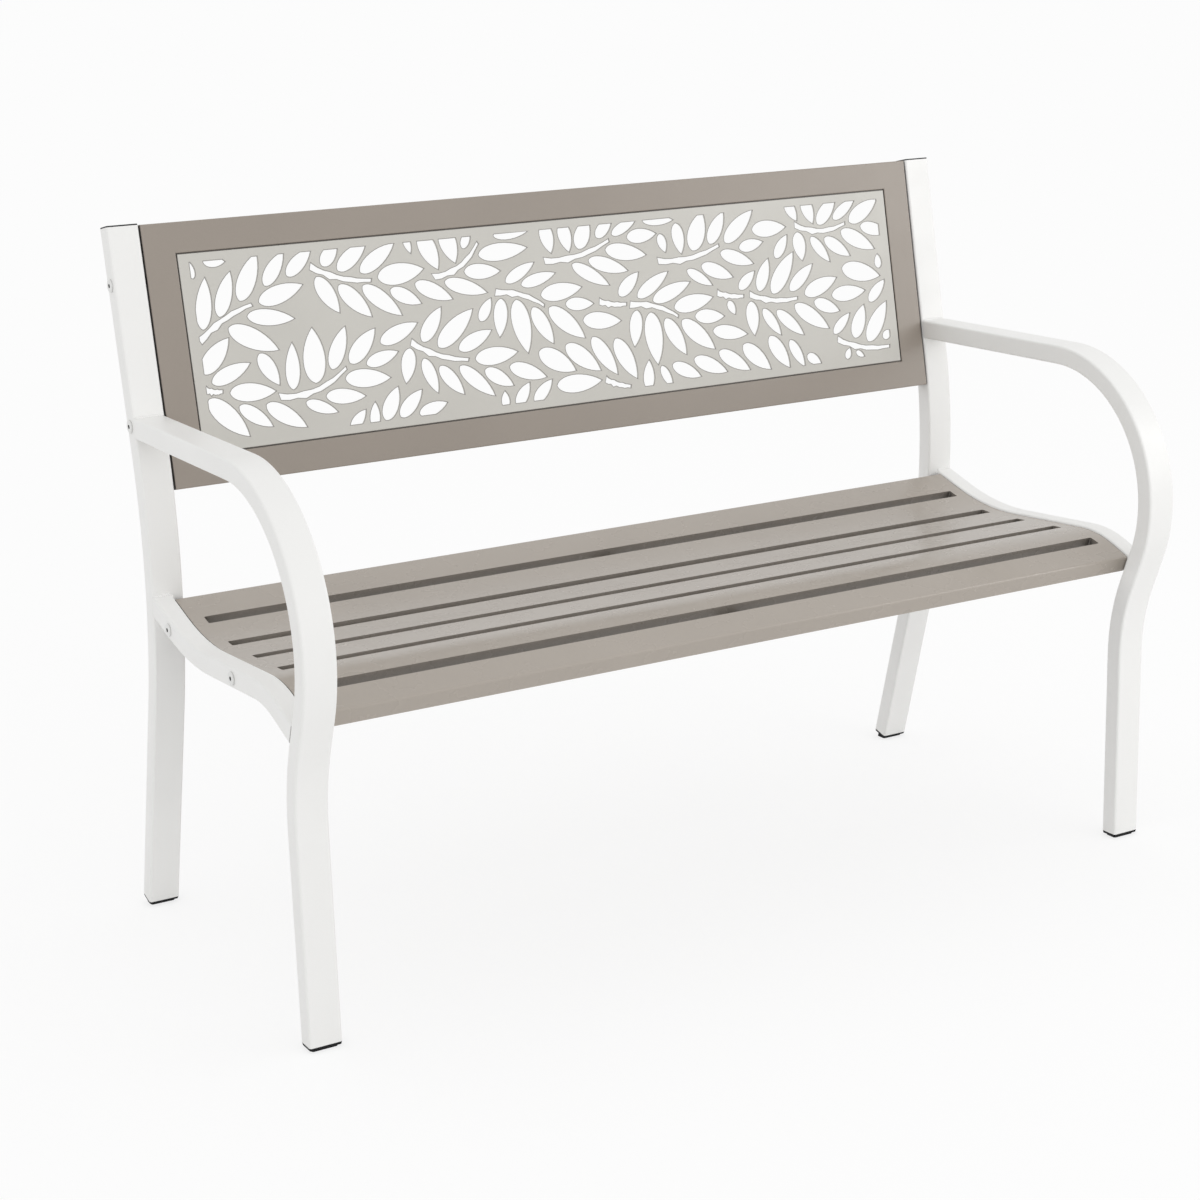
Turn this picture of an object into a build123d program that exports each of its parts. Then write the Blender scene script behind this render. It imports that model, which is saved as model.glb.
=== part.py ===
from build123d import *
import os
from cmath import rect
from math import cos, radians, sin, sqrt, tan

os.makedirs("parts", exist_ok=True)

# Garden bench for two: white bent-tube ends, a pressed slotted seat and a framed leaf-cut back.
# Millimetres. X runs along the bench, Y from front to back, Z up. The feet stand on Z = 0.

# Overall sizes
WIDTH = 1220.0
DEPTH = 590.0
HEIGHT = 882.0

# End frame tube, WIDE along X and DEEP in the plane of the bends
TUBE_WIDE = 40.0
TUBE_DEEP = 25.0
TUBE_WALL = 1.5
TUBE_CORNER = 3.0

# Rear upright: leans back above the knee, rakes back below it
KNEE_HEIGHT = 445.0
UPRIGHT_LEAN = 10.3
REAR_LEG_RAKE = 16.0
KNEE_BEND = 730.0

# Arm and front leg, one bent tube
ARM_HEIGHT = 656.0
ARM_BEND = 177.5
FRONT_LEG_SLANT = 22.0
FRONT_LEG_SETBACK = 49.5
FRONT_LEG_BEND = 262.5

# Seat line, the top of the sheet seen from the side: heights, slopes, and gaps to the upright and the leg
SEAT_HOLLOW_HEIGHT = 402.2
SEAT_HOLLOW_SETBACK = 350.0
SEAT_REAR_GAP = 6.5
SEAT_REAR_SLOPE = 17.5
SEAT_HOLLOW_BEND = 350.0
SEAT_MIDDLE_RUN = 233.8
SEAT_MIDDLE_RISE = 3.1
SEAT_NOSE_BEND = 150.0
SEAT_NOSE_GAP = 13.0
SEAT_NOSE_DROP = 21.8

# Seat rail, square tube flush with the outside of the end frame
RAIL_WIDE = 25.0
RAIL_HIGH = 25.0
RAIL_WALL = 1.5
RAIL_CORNER = 3.0
RAIL_PROUD = 2.0

# Seat sheet and its slots
SEAT_SHEET = 1.5
SEAT_FOLD = 3.5
SEAT_APRON = 21.5
SEAT_REAR_FLANGE = 18.0
SEAT_END_FLANGE = 22.0
SEAT_END_GAP = 0.8
SLOT_COUNT = 5
SLOT_WIDE = 17.0
SLOT_PITCH = 75.0
SLOT_FIRST = 59.0
SLOT_END_MARGIN = 18.0
SLOT_COLLAR = 17.0
SLOT_CORNER = 1.8
RIB_WIDE = 30.0
RIB_THICK = 3.0
RIB_GAP = 0.3

# Back frame, a channel section folded round the window
BACK_HIGH = 319.0
BACK_TOP_DROP = 4.0
BACK_SINK = 1.0
BACK_DEEP = 20.0
BACK_SHEET = 1.5
BACK_SIDE_BORDER = 40.0
BACK_RAIL_BORDER = 37.5
BACK_END_GAP = 2.0
SPACER_DIAMETER = 14.0
BACK_EDGE_ROUND = 1.4
LEDGE_WIDE = 9.0

# Leaf panel, a cut plate that sits on the ledge inside the window
LEAF_PLATE = 2.0
LEAF_GAP = 1.5
LEAF_SINK = 0.3
LEAF_EDGE_ROUND = 0.8
LEAF_SIDE_MARGIN = 14.0
LEAF_RAIL_MARGIN = 11.0
LEAF_WEB = 3.4
TWIG_WIDE = 6.5
STUD_DIAMETER = 4.0
STUD_LENGTH = 6.0
STUD_CLEARANCE = 0.4
STUD_COLUMNS = 6
PUSH_NUT_DIAMETER = 9.0
PUSH_NUT_THICK = 1.2
PUSH_NUT_GAP = 0.1

# Bolts with a broad low head and a hexagon socket, and the nuts welded inside
BOLT_DIAMETER = 6.0
BOLT_CLEARANCE = 0.6
BOLT_HEAD_DIAMETER = 16.0
BOLT_HEAD_THICK = 2.2
BOLT_HEAD_ROUND = 1.0
SOCKET_ACROSS = 5.0
SOCKET_DEEP = 1.6
NUT_ACROSS = 10.0
NUT_THICK = 5.0
BOLT_TAIL = 2.0
BACK_BOLT_SPACING = 168.7
BACK_BOLT_RAISE = 7.0
SEAT_BOLT_REAR = 50.0
SEAT_BOLT_FRONT = 248.0

# Plastic feet and top caps
FOOT_FLANGE = 3.4
FOOT_TAPER = 12.0
FOOT_PAD = 2.8
FOOT_PAD_INSET = 4.0
PLUG_LENGTH = 16.0
PLUG_CLEARANCE = 0.2
CAP_FLANGE = 1.8
CAP_INSET = 0.6

# Positions that follow from the sizes above
LEAN = radians(UPRIGHT_LEAN)
RAKE = radians(REAR_LEG_RAKE)
SLANT = radians(FRONT_LEG_SLANT)
FRONT = -DEPTH / 2
BACK = DEPTH / 2
TUBE_X = WIDTH / 2 - TUBE_WIDE / 2
RAIL_X = WIDTH / 2 - RAIL_WIDE / 2
SEAT_HALF = WIDTH / 2 - RAIL_WIDE - SEAT_END_GAP
BACK_HALF = WIDTH / 2 - TUBE_WIDE - BACK_END_GAP

# Rear upright, from the foot up through the knee
rear_foot_z = FOOT_PAD + FOOT_FLANGE * cos(RAKE) + TUBE_DEEP / 2 * sin(RAKE)
flange_low_half = TUBE_DEEP / 2 - FOOT_FLANGE * tan(radians(FOOT_TAPER))
flange_low_reach = flange_low_half * cos(RAKE) + FOOT_FLANGE * sin(RAKE)
rear_foot_y = BACK - max(TUBE_DEEP / 2 * cos(RAKE), flange_low_reach)
knee_y = rear_foot_y - (KNEE_HEIGHT - rear_foot_z) * tan(RAKE)
top_z = HEIGHT - CAP_FLANGE * cos(LEAN) - TUBE_DEEP / 2 * sin(LEAN)
top_y = knee_y + (top_z - KNEE_HEIGHT) * tan(LEAN)

# Arm and front leg, from the upright forward and down
arm_z = ARM_HEIGHT - TUBE_DEEP / 2
arm_rear_y = knee_y + (arm_z - KNEE_HEIGHT) * tan(LEAN)
arm_corner_y = FRONT + TUBE_DEEP / 2 + ARM_BEND - ARM_BEND * tan((radians(90) + SLANT) / 2)
front_leg_y = FRONT + FRONT_LEG_SETBACK + TUBE_DEEP / 2
slant_corner_z = arm_z - (front_leg_y - arm_corner_y) / tan(SLANT)
front_foot_z = FOOT_PAD + FOOT_FLANGE

# Middle of the upright's bend, which lies behind the tube
knee_run = KNEE_BEND * tan((LEAN + RAKE) / 2)
bend_y = knee_y + knee_run * sin(LEAN) + KNEE_BEND * cos(LEAN)
bend_z = KNEE_HEIGHT + knee_run * cos(LEAN) - KNEE_BEND * sin(LEAN)


def upright_front(z):
    """Y of the upright's front face at a height: below the bend, on it or above it."""
    reach = KNEE_BEND + TUBE_DEEP / 2
    if z > bend_z + reach * sin(LEAN):
        return knee_y + (z - KNEE_HEIGHT) * tan(LEAN) - TUBE_DEEP / 2 / cos(LEAN)
    if z < bend_z - reach * sin(RAKE):
        return knee_y + (KNEE_HEIGHT - z) * tan(RAKE) - TUBE_DEEP / 2 / cos(RAKE)
    return bend_y - sqrt(reach ** 2 - (z - bend_z) ** 2)


def leg_back(z):
    """Y of the back face of the slanting part of the front leg at a height."""
    return front_leg_y - (z - slant_corner_z) * tan(SLANT) + TUBE_DEEP / 2 / cos(SLANT)


# Seat line corners, from the rear edge forward
rear_way = Vector(cos(radians(SEAT_REAR_SLOPE)), sin(radians(SEAT_REAR_SLOPE)))
middle_way = Vector(-cos(radians(SEAT_MIDDLE_RISE)), sin(radians(SEAT_MIDDLE_RISE)))
nose_way = Vector(-cos(radians(SEAT_NOSE_DROP)), -sin(radians(SEAT_NOSE_DROP)))
seat_hollow = Vector(FRONT + SEAT_HOLLOW_SETBACK, SEAT_HOLLOW_HEIGHT)
seat_crest = seat_hollow + middle_way * SEAT_MIDDLE_RUN
rear_run = SEAT_HOLLOW_BEND
nose_run = SEAT_NOSE_BEND
for settle in range(30):
    rear_end = seat_hollow + rear_way * rear_run
    rear_run += (upright_front(rear_end.Y) - SEAT_REAR_GAP - rear_end.X) / rear_way.X
    nose_end = seat_crest + nose_way * nose_run
    nose_run += (leg_back(nose_end.Y) + SEAT_NOSE_GAP - nose_end.X) / nose_way.X * 0.8
seat_rear = seat_hollow + rear_way * rear_run
seat_nose = seat_crest + nose_way * nose_run


def bent_path(points, radii, x):
    """Straight runs joined by tangent bends, drawn in the YZ plane at x."""
    with BuildLine() as bent:
        start = Vector(points[0])
        for before, corner, after, radius in zip(points, points[1:], points[2:], radii):
            heading = (Vector(corner) - Vector(before)).normalized()
            leaving = (Vector(after) - Vector(corner)).normalized()
            turn = heading.get_signed_angle(leaving, Vector(0, 0, 1))
            run = radius * tan(radians(abs(turn)) / 2)
            bend_start = Vector(corner) - heading * run
            Line(start, bend_start)
            bend = JernArc(bend_start, heading, radius, turn)
            start = bend @ 1
        Line(start, Vector(points[-1]))
    return Plane((x, 0, 0), x_dir=(0, 1, 0), z_dir=(1, 0, 0)) * bent.wire()


def swept_bar(path, wide, deep, drop=0.0):
    """Plain rectangular bar along a path, its middle lowered by drop."""
    with BuildPart() as bar:
        with BuildSketch(Plane(path @ 0, x_dir=(1, 0, 0), z_dir=path % 0)):
            with Locations((0, -drop)):
                Rectangle(wide, deep)
        sweep(path=path)
    return bar.part


def swept_tube(path, wide, deep, wall, corner, drop=0.0):
    """Hollow tube with rounded corners along a path, its middle lowered by drop."""
    with BuildPart() as tube:
        with BuildSketch(Plane(path @ 0, x_dir=(1, 0, 0), z_dir=path % 0)):
            with Locations((0, -drop)):
                RectangleRounded(wide, deep, corner)
                RectangleRounded(wide - 2 * wall, deep - 2 * wall, corner - wall, mode=Mode.SUBTRACT)
        sweep(path=path)
    return tube.part


def upright_path(x):
    """Centre line of a rear upright."""
    return bent_path([(rear_foot_y, rear_foot_z), (knee_y, KNEE_HEIGHT), (top_y, top_z)], [KNEE_BEND], x)


def arm_path(x):
    """Centre line of an arm and front leg, starting inside the upright."""
    corners = [
        (arm_rear_y, arm_z),
        (arm_corner_y, arm_z),
        (front_leg_y, slant_corner_z),
        (front_leg_y, front_foot_z),
    ]
    return bent_path(corners, [ARM_BEND, FRONT_LEG_BEND], x)


def seat_line(x, rear_extra=0.0, nose_extra=0.0):
    """Top line of the seat from its rear edge to the nose, longer at either end if asked."""
    corners = [
        seat_rear + rear_way * rear_extra,
        seat_hollow,
        seat_crest,
        seat_nose + nose_way * nose_extra,
    ]
    return bent_path(corners, [SEAT_HOLLOW_BEND, SEAT_NOSE_BEND], x)


def seat_plane(x, distance):
    """Plane on the seat line, a distance forward of its rear edge, facing up."""
    line = seat_line(x)
    along = line.tangent_at(distance, position_mode=PositionMode.LENGTH)
    spot = line.position_at(distance, position_mode=PositionMode.LENGTH)
    return Plane(spot, x_dir=(1, 0, 0), z_dir=along.cross(Vector(1, 0, 0)))


# The back panel's own plane: x along the bench, y up the slope, z out of its front face
back_mid_along = (HEIGHT - BACK_TOP_DROP - KNEE_HEIGHT) / cos(LEAN) - BACK_HIGH / 2
back_mid = Vector(
    0,
    knee_y + back_mid_along * sin(LEAN) - (TUBE_DEEP / 2 - BACK_SINK) * cos(LEAN),
    KNEE_HEIGHT + back_mid_along * cos(LEAN) + (TUBE_DEEP / 2 - BACK_SINK) * sin(LEAN),
)
BACK_PLANE = Plane(back_mid, x_dir=(1, 0, 0), z_dir=(0, -cos(LEAN), sin(LEAN)))
window_half = BACK_HALF - BACK_SIDE_BORDER
window_high = BACK_HIGH - 2 * BACK_RAIL_BORDER

# Bolt spots: up the slope of the back panel, and along the seat line on the rails
back_bolt_spots = []
for step in (-BACK_BOLT_SPACING / 2, BACK_BOLT_SPACING / 2):
    on_tube_middle = Vector(0, BACK_BOLT_RAISE + step, BACK_SINK - TUBE_DEEP / 2)
    back_bolt_spots.append(BACK_PLANE.from_local_coords(on_tube_middle))
seat_bolt_spots = []
for distance in (SEAT_BOLT_REAR, SEAT_BOLT_FRONT):
    bolt_depth = Vector(0, 0, RAIL_PROUD - RAIL_HIGH / 2)
    seat_bolt_spots.append(seat_plane(0, distance).from_local_coords(bolt_depth))


def cross_bores(spots, x, length, diameter):
    """Round bars or bores along X through each spot, centred on x."""
    with BuildPart() as bores:
        for spot in spots:
            with Locations(Plane((x, spot.Y, spot.Z), x_dir=(0, 1, 0), z_dir=(1, 0, 0))):
                Cylinder(diameter / 2, length)
    return bores.part


def save(piece, name):
    """Names a piece and writes it to its own file."""
    piece.label = name
    export_step(piece, f"parts/{name}.step")


# End frames: rear upright, arm with front leg, and seat rail, each coped onto the tube it meets
for side, sign in (("left", -1), ("right", 1)):
    x_tube = sign * TUBE_X
    x_rail = sign * RAIL_X
    upright_body = swept_bar(upright_path(x_tube), 2 * TUBE_WIDE, TUBE_DEEP)
    leg_body = swept_bar(arm_path(x_tube), 2 * TUBE_WIDE, TUBE_DEEP)

    with BuildPart() as upright:
        add(swept_tube(upright_path(x_tube), TUBE_WIDE, TUBE_DEEP, TUBE_WALL, TUBE_CORNER))
        bolt_bore = BOLT_DIAMETER + BOLT_CLEARANCE
        add(cross_bores(back_bolt_spots, x_tube, 2 * TUBE_WIDE, bolt_bore), mode=Mode.SUBTRACT)
    save(upright.part, f"{side}_rear_upright")

    with BuildPart() as arm:
        add(swept_tube(arm_path(x_tube), TUBE_WIDE, TUBE_DEEP, TUBE_WALL, TUBE_CORNER))
        add(upright_body, mode=Mode.SUBTRACT)
    save(arm.part, f"{side}_arm_and_leg")

    with BuildPart() as rail:
        rail_line = seat_line(x_rail, SEAT_REAR_GAP + TUBE_DEEP / 2, SEAT_NOSE_GAP + TUBE_DEEP / 2)
        rail_drop = RAIL_HIGH / 2 - RAIL_PROUD
        add(swept_tube(rail_line, RAIL_WIDE, RAIL_HIGH, RAIL_WALL, RAIL_CORNER, rail_drop))
        add(upright_body, mode=Mode.SUBTRACT)
        add(leg_body, mode=Mode.SUBTRACT)
        add(cross_bores(seat_bolt_spots, x_rail, 2 * RAIL_WIDE, bolt_bore), mode=Mode.SUBTRACT)
    save(rail.part, f"{side}_seat_rail")

# Seat panel: one folded sheet with five flanged slots and a flange at each end
apron_way = Vector(-nose_way.Y, nose_way.X)
flange_way = Vector(rear_way.Y, -rear_way.X)
sheet_corners = [
    seat_rear + flange_way * SEAT_REAR_FLANGE,
    seat_rear,
    seat_hollow,
    seat_crest,
    seat_nose,
    seat_nose + apron_way * SEAT_APRON,
]
sheet_bends = [SEAT_FOLD, SEAT_HOLLOW_BEND, SEAT_NOSE_BEND, SEAT_FOLD]
slot_half = SEAT_HALF - SLOT_END_MARGIN
with BuildPart() as seat:
    add(swept_bar(bent_path(sheet_corners, sheet_bends, 0), 2 * SEAT_HALF, SEAT_SHEET, SEAT_SHEET / 2))
    for sign in (-1, 1):
        end_line = seat_line(sign * (SEAT_HALF - SEAT_SHEET / 2), -2 * SEAT_FOLD, -2 * SEAT_FOLD)
        flange_high = SEAT_END_FLANGE - SEAT_SHEET / 2
        add(swept_bar(end_line, SEAT_SHEET, flange_high, SEAT_SHEET / 2 + flange_high / 2))
    for index in range(SLOT_COUNT):
        slot_top = seat_plane(0, SLOT_FIRST + index * SLOT_PITCH)
        with BuildSketch(slot_top.offset(-SEAT_SHEET / 2)):
            collar_long = 2 * slot_half + 2 * SEAT_SHEET
            RectangleRounded(collar_long, SLOT_WIDE + 2 * SEAT_SHEET, SLOT_CORNER + SEAT_SHEET)
        extrude(amount=-(SLOT_COLLAR - SEAT_SHEET / 2))
        with BuildSketch(slot_top.offset(SEAT_SHEET)):
            RectangleRounded(2 * slot_half, SLOT_WIDE, SLOT_CORNER)
        extrude(amount=-(SLOT_COLLAR + 2 * SEAT_SHEET), mode=Mode.SUBTRACT)
    for sign in (-1, 1):
        add(cross_bores(seat_bolt_spots, sign * SEAT_HALF, 4 * SEAT_SHEET, bolt_bore), mode=Mode.SUBTRACT)
save(seat.part, "seat_panel")

# Rib under the middle of the seat, from front to back below the slot flanges
with BuildPart() as rib:
    rib_line = seat_line(0, -SEAT_FOLD - SEAT_SHEET, -SEAT_FOLD - SEAT_SHEET)
    add(swept_bar(rib_line, RIB_WIDE, RIB_THICK, SLOT_COLLAR + RIB_GAP + RIB_THICK / 2))
save(rib.part, "seat_centre_rib")

# Back frame: channel section, open to the rear, with a ledge inside the window for the leaf panel
ledge_back = LEAF_SINK + LEAF_PLATE + BACK_SHEET
with BuildPart() as back_frame:
    with BuildSketch(BACK_PLANE):
        Rectangle(2 * BACK_HALF, BACK_HIGH)
        Rectangle(2 * window_half, window_high, mode=Mode.SUBTRACT)
    extrude(amount=-BACK_DEEP)
    front_edges = back_frame.faces().sort_by(Axis(back_mid, BACK_PLANE.z_dir))[-1].edges()
    fillet(front_edges, BACK_EDGE_ROUND)
    with BuildSketch(BACK_PLANE.offset(-BACK_SHEET)):
        Rectangle(2 * (BACK_HALF - BACK_SHEET), BACK_HIGH - 2 * BACK_SHEET)
        Rectangle(2 * (window_half + BACK_SHEET), window_high + 2 * BACK_SHEET, mode=Mode.SUBTRACT)
    extrude(amount=-BACK_DEEP, mode=Mode.SUBTRACT)
    with BuildSketch(BACK_PLANE.offset(-(LEAF_SINK + LEAF_PLATE))):
        Rectangle(2 * window_half, window_high)
        Rectangle(2 * (window_half - LEDGE_WIDE), window_high - 2 * LEDGE_WIDE, mode=Mode.SUBTRACT)
    extrude(amount=-BACK_SHEET)
    stud_span = 2 * window_half - LEDGE_WIDE
    stud_rise = window_high - LEDGE_WIDE
    with Locations(BACK_PLANE.offset(-(LEAF_SINK + LEAF_PLATE + BACK_SHEET / 2))):
        with GridLocations(stud_span / (STUD_COLUMNS - 1), stud_rise, STUD_COLUMNS, 2):
            Cylinder((STUD_DIAMETER + STUD_CLEARANCE) / 2, 2 * BACK_SHEET, mode=Mode.SUBTRACT)
    for sign in (-1, 1):
        add(cross_bores(back_bolt_spots, sign * BACK_HALF, 4 * BACK_SHEET, bolt_bore), mode=Mode.SUBTRACT)
save(back_frame.part, "back_frame")

# Spacers on the back bolts, which hold the frame off the uprights by an even gap
with BuildPart() as spacers:
    for sign in (-1, 1):
        spacer_x = sign * (BACK_HALF + BACK_END_GAP / 2)
        add(cross_bores(back_bolt_spots, spacer_x, BACK_END_GAP, SPACER_DIAMETER))
        add(cross_bores(back_bolt_spots, spacer_x, 2 * BACK_END_GAP, bolt_bore), mode=Mode.SUBTRACT)
save(spacers.part, "back_spacers")

# Leaf sprays on the panel, seen from the front, from the panel's middle.
# A twig is x, z of its foot, x, z of its tip, and its bow as a share of its length.
# A leaf is x, z of its middle, length, width and heading.
SPRAYS = [
    ((-512, 14, -440, 52, -0.06), [
        (-501, 59, 66, 21, 80), (-473, 68, 64, 22, 68), (-440, 86, 66, 24, 62), (-405, 93, 54, 20, 52),
        (-371, 98, 48, 18, 40), (-400, 62, 68, 24, 15), (-417, 34, 66, 21, -8), (-443, 10, 70, 25, -28),
        (-495, -5, 58, 24, 45), (-478, -28, 58, 20, 20), (-512, 101, 22, 9, 100), (-481, 108, 28, 13, -5)]),
    ((-357, 91, -277, 67, 0.07), [
        (-338, 54, 62, 25, -61), (-302, 43, 60, 22, -47), (-265, 40, 66, 22, -40), (-232, 42, 48, 19, -27),
        (-235, 72, 68, 27, 5), (-265, 94, 60, 20, 32), (-299, 99, 54, 20, 36), (-329, 104, 36, 18, 48)]),
    ((-419, -64, -326, -38, 0.11), [
        (-428, -29, 46, 20, -62), (-397, -28, 58, 19, 84), (-367, -18, 70, 30, 87), (-333, -12, 58, 21, 64),
        (-300, -13, 56, 22, 45), (-275, -31, 50, 18, 14), (-298, -54, 66, 24, -5), (-331, -73, 64, 22, -6),
        (-365, -83, 60, 20, -22), (-413, -88, 60, 21, -34), (-453, -84, 50, 18, -36),
        (-488, -82, 70, 26, -47), (-453, -54, 60, 22, -4)]),
    ((-513, -45, -492, -49, 0.07), []),
    ((-190, 63, -122, 101, 0.13), [
        (-192, 96, 52, 24, -68), (-163, 101, 48, 24, -75), (-138, 107, 26, 12, 60), (-221, 107, 24, 10, -75),
        (-87, 87, 72, 22, 3), (-120, 64, 62, 23, -4), (-146, 46, 62, 19, -18), (-192, 45, 56, 20, -26),
        (-72, 109, 52, 14, 3)]),
    ((-105, 35, -36, 12, -0.08), [
        (-122, 15, 34, 15, 55), (-102, 2, 50, 20, -100), (-72, -12, 74, 28, -83), (-41, -14, 58, 22, -63),
        (-5, -14, 66, 24, -42), (17, 9, 46, 18, -4), (48, -16, 58, 22, -6), (-66, 58, 58, 18, 26),
        (-40, 47, 62, 18, 12), (-8, 28, 68, 24, 5)]),
    ((-233, -16, -155, -46, 0.07), [
        (-241, -45, 50, 22, -105), (-211, -61, 60, 22, -72), (-182, -70, 62, 23, -52),
        (-146, -75, 64, 20, -43), (-114, -74, 50, 20, -32), (-71, -71, 56, 20, -20),
        (-114, -45, 68, 24, 3), (-142, -22, 54, 19, 22),
        (-168, -4, 70, 24, 38), (-201, 4, 52, 20, 52), (-248, -2, 58, 20, 20)]),
    ((-28, 69, 72, 88, 0.07), [
        (-20, 98, 40, 20, -80), (7, 97, 42, 21, -80), (34, 100, 46, 24, 62), (67, 105, 36, 16, 40),
        (98, 104, 46, 14, 24), (123, 90, 50, 20, 2), (96, 70, 70, 24, -11), (67, 55, 64, 20, -18),
        (39, 45, 62, 18, -31)]),
    ((144, 54, 243, 67, 0.07), [
        (151, 108, 48, 13, -3), (154, 77, 28, 15, -75), (180, 81, 42, 19, -84), (211, 89, 58, 28, 66),
        (242, 91, 52, 21, 55), (278, 90, 64, 22, 38), (327, 83, 56, 22, 0), (295, 63, 48, 19, 8),
        (270, 47, 66, 22, -20), (236, 32, 66, 24, -22), (207, 26, 56, 18, -32)]),
    ((47, 9, 88, 2, 0.05), [(95, 28, 44, 18, 40), (132, 24, 60, 18, 30), (160, 12, 66, 20, 18)]),
    ((93, 0, 166, -22, -0.08), [
        (193, -6, 64, 22, 8), (216, -27, 48, 19, -5), (98, -32, 50, 20, -102), (125, -48, 72, 28, -88),
        (159, -49, 58, 22, -62), (195, -50, 66, 24, -42), (246, -52, 56, 19, -10), (253, -19, 26, 15, -65)]),
    ((232, 3, 274, -5, 0.05), [(282, 16, 36, 15, 38), (310, 21, 48, 19, 64), (342, 21, 68, 24, 52)]),
    ((284, -4, 362, -16, 0.07), [
        (372, 12, 54, 18, 38), (403, -3, 66, 24, 18), (449, -17, 58, 21, 2), (410, -32, 50, 20, -22),
        (383, -44, 66, 22, -35), (346, -49, 70, 22, -42), (316, -45, 58, 20, -56), (285, -37, 50, 22, -90)]),
    ((370, 84, 455, 80, 0.11), [
        (367, 104, 40, 20, -62), (395, 102, 40, 20, -72), (426, 100, 52, 21, 45), (456, 100, 50, 16, 32),
        (488, 95, 58, 22, 28), (344, 57, 38, 16, 52), (375, 54, 40, 21, -84), (409, 47, 58, 20, -52),
        (438, 48, 62, 23, -34), (474, 55, 62, 22, -28), (504, 68, 48, 18, -14), (474, 10, 66, 26, -14),
        (505, 23, 20, 12, 90)]),
    ((422, -80, 510, -98, 0.07), [
        (498, -18, 42, 16, 42), (432, -58, 48, 17, 40), (462, -58, 50, 22, 64), (493, -61, 66, 24, 54),
        (508, -81, 18, 12, 30), (438, -101, 26, 16, 62), (458, -104, 20, 10, -30)]),
    ((43, -94, 80, -107, 0.05), [
        (-26, -62, 60, 26, -30), (13, -62, 62, 24, -38), (3, -94, 68, 23, 0), (46, -63, 62, 22, -58),
        (78, -70, 62, 24, -64), (110, -95, 40, 17, 82), (138, -101, 34, 13, -65), (170, -96, 48, 18, -25),
        (209, -93, 56, 20, -24), (248, -91, 56, 20, -32), (285, -90, 56, 23, -42), (323, -87, 54, 22, -58),
        (352, -92, 44, 16, -62), (379, -103, 26, 14, -30)]),
]

# Leaves along the lower edge that have no twig of their own
LOOSE_LEAVES = [
    (-318, -104, 32, 14, 45), (-295, -101, 36, 15, 82), (-270, -89, 50, 22, 60), (-243, -92, 50, 20, 42),
    (-213, -102, 42, 16, 14), (-109, -103, 22, 12, 88), (-82, -99, 36, 16, 52), (-52, -98, 40, 16, 42),
]


def leaf_sides(leaf, scale):
    """The two sides of a leaf as curves from base to tip, fuller towards the base, at a scale of its size."""
    x, z, length, width, heading = leaf
    along = rect(length * scale, radians(heading))
    across = rect(width * scale, radians(heading + 90))
    base = complex(x, z) - along / 2
    sides = []
    for hand in (-1, 1):
        low_pull = base + 0.06 * along + 0.60 * hand * across
        high_pull = base + 0.60 * along + 0.74 * hand * across
        sides.append((base, low_pull, high_pull, base + along))
    return sides


def leaf_outline(leaf, scale):
    """Points round the edge of a leaf, for measuring the web beside it."""
    points = []
    for base, low_pull, high_pull, tip in leaf_sides(leaf, scale):
        for step in range(9):
            t = step / 8
            near_base = base * (1 - t) ** 3 + low_pull * 3 * t * (1 - t) ** 2
            points.append(near_base + high_pull * 3 * t * t * (1 - t) + tip * t ** 3)
    return points


def twig_outline(twig):
    """Knobbed, tapering outline of a twig between its foot and its tip."""
    foot_end, tip, bow = complex(twig[0], twig[1]), complex(twig[2], twig[3]), twig[4]
    along = tip - foot_end
    across = along / abs(along) * 1j
    knobs = [0.75, 0.5, 0.46, 0.62, 0.44, 0.4, 0.52, 0.36, 0.34, 0.26]
    upper, lower = [], []
    for index, knob in enumerate(knobs):
        share = index / (len(knobs) - 1)
        spine = foot_end + along * share - across * abs(along) * bow * 4 * share * (1 - share)
        upper.append(spine + across * knob * TWIG_WIDE)
        lower.append(spine - across * knob * TWIG_WIDE * (1.25 if index % 2 else 0.8))
    return upper + lower[::-1]


def least_gap(points, others):
    """Shortest distance between two rows of points."""
    return min(abs(one - other) for one in points for other in others)


def eased_leaves():
    """Every leaf with the scale at which it keeps a full web to its neighbours and to the twigs."""
    twigs = [twig_outline(twig) for twig, leaves in SPRAYS]
    leaves = LOOSE_LEAVES + [leaf for twig, spray in SPRAYS for leaf in spray]
    scales = [1.0] * len(leaves)
    pairs = []
    for one, leaf in enumerate(leaves):
        for other in range(one):
            apart = abs(complex(*leaf[:2]) - complex(*leaves[other][:2]))
            if apart < (leaf[2] + leaves[other][2]) / 2 + LEAF_WEB:
                pairs.append((one, other))
    crowded = True
    while crowded and min(scales) > 0.5:
        outlines = [leaf_outline(leaf, scale) for leaf, scale in zip(leaves, scales)]
        crowded = set()
        for one, other in pairs:
            if least_gap(outlines[one], outlines[other]) < LEAF_WEB:
                crowded.update((one, other))
        for index, outline in enumerate(outlines):
            if any(least_gap(outline, twig) < LEAF_WEB for twig in twigs if abs(twig[0] - outline[0]) < 200):
                crowded.add(index)
        for index in crowded:
            scales[index] -= 0.02
        pairs = [pair for pair in pairs if crowded.intersection(pair)]
    return list(zip(leaves, scales))


def flat_points(points):
    """Plane coordinates of complex points."""
    return [(point.real, point.imag) for point in points]


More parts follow.
